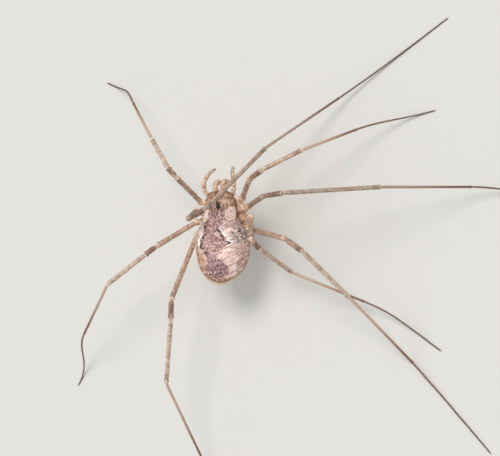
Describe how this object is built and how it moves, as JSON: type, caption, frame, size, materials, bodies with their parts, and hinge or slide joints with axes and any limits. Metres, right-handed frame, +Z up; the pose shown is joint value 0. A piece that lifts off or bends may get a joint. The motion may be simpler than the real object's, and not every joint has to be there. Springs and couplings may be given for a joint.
{
  "type": "harvestman",
  "caption": "Life-size harvestman, oval body with an eye mound and long jointed legs, standing on a level floor.",
  "frame": {"origin": "middle of the whole animal's box, on the floor that its feet stand on", "axes": "+Y towards the animal's head along its body, +X to the animal's right, +Z up from the floor"},
  "size_m": [0.0526, 0.047, 0.0117],
  "materials": {
    "body_shell": "matt mottled brown and cream cuticle",
    "leg_shell": "satin buff cuticle with brown stripes and pale joints",
    "mouth_shell": "satin pale buff cuticle",
    "eye": "glossy black lens"
  },
  "bodies": {
    "root": {"cephalothorax": "body_shell", "abdomen": "body_shell", "eye_mound": "body_shell", "eye_left": "eye", "eye_right": "eye", "jaw_left": "mouth_shell", "jaw_right": "mouth_shell", "palp_left": "mouth_shell", "palp_right": "mouth_shell", "leg_left_1_coxa": "leg_shell", "leg_left_1_femur": "leg_shell", "leg_left_1_patella": "leg_shell", "leg_left_1_tibia": "leg_shell", "leg_left_1_metatarsus": "leg_shell", "leg_left_1_tarsus": "leg_shell", "leg_left_2_coxa": "leg_shell", "leg_left_2_femur": "leg_shell", "leg_left_2_patella": "leg_shell", "leg_left_2_tibia": "leg_shell", "leg_left_2_metatarsus": "leg_shell", "leg_left_2_tarsus": "leg_shell", "leg_left_3_coxa": "leg_shell", "leg_left_3_femur": "leg_shell", "leg_left_3_patella": "leg_shell", "leg_left_3_tibia": "leg_shell", "leg_left_3_metatarsus": "leg_shell", "leg_left_3_tarsus": "leg_shell", "leg_left_4_coxa": "leg_shell", "leg_left_4_femur": "leg_shell", "leg_left_4_patella": "leg_shell", "leg_left_4_tibia": "leg_shell", "leg_left_4_metatarsus": "leg_shell", "leg_left_4_tarsus": "leg_shell", "leg_right_1_coxa": "leg_shell", "leg_right_1_femur": "leg_shell", "leg_right_1_patella": "leg_shell", "leg_right_1_tibia": "leg_shell", "leg_right_1_metatarsus": "leg_shell", "leg_right_1_tarsus": "leg_shell", "leg_right_2_coxa": "leg_shell", "leg_right_2_femur": "leg_shell", "leg_right_2_patella": "leg_shell", "leg_right_2_tibia": "leg_shell", "leg_right_2_metatarsus": "leg_shell", "leg_right_2_tarsus": "leg_shell", "leg_right_3_coxa": "leg_shell", "leg_right_3_femur": "leg_shell", "leg_right_3_patella": "leg_shell", "leg_right_3_tibia": "leg_shell", "leg_right_3_metatarsus": "leg_shell", "leg_right_3_tarsus": "leg_shell", "leg_right_4_coxa": "leg_shell", "leg_right_4_femur": "leg_shell", "leg_right_4_patella": "leg_shell", "leg_right_4_tibia": "leg_shell", "leg_right_4_metatarsus": "leg_shell", "leg_right_4_tarsus": "leg_shell"}
  },
  "joints": []
}
